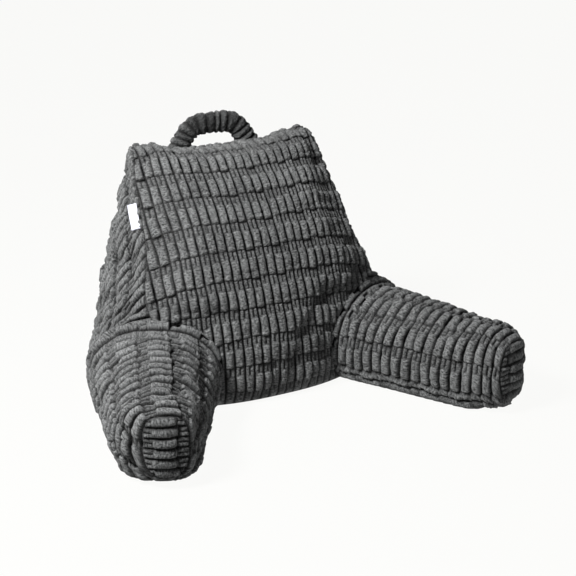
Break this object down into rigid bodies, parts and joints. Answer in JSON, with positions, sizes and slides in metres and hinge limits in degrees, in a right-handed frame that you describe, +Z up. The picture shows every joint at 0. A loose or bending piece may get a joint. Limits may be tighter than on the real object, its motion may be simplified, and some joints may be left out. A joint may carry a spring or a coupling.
{
  "type": "reading pillow with arms",
  "caption": "Wide-ribbed plush reading pillow: a filled backrest wedge with filled arms that splay forward, a gathered carrying handle on top and a small bare label.",
  "frame": {"origin": "on the ground under the backrest, midway between the arms and level with the lower ends of the front seams", "axes": "+Z up, -Y the way the arms and the sitter face, +X to the sitter's left, which is the viewer's right from the front"},
  "size_m": [0.8052, 0.6161, 0.4996],
  "materials": {
    "charcoal_plush": "wide-ribbed charcoal plush",
    "charcoal_plush_left": "wide-ribbed charcoal plush",
    "charcoal_plush_right": "wide-ribbed charcoal plush",
    "charcoal_plush_strap": "gathered charcoal plush",
    "label_weave": "smooth white woven ribbon, bare"
  },
  "bodies": {
    "root": {"backrest": "charcoal_plush", "arm_left": "charcoal_plush_left", "arm_right": "charcoal_plush_right", "handle": "charcoal_plush_strap", "label": "label_weave"}
  },
  "joints": []
}
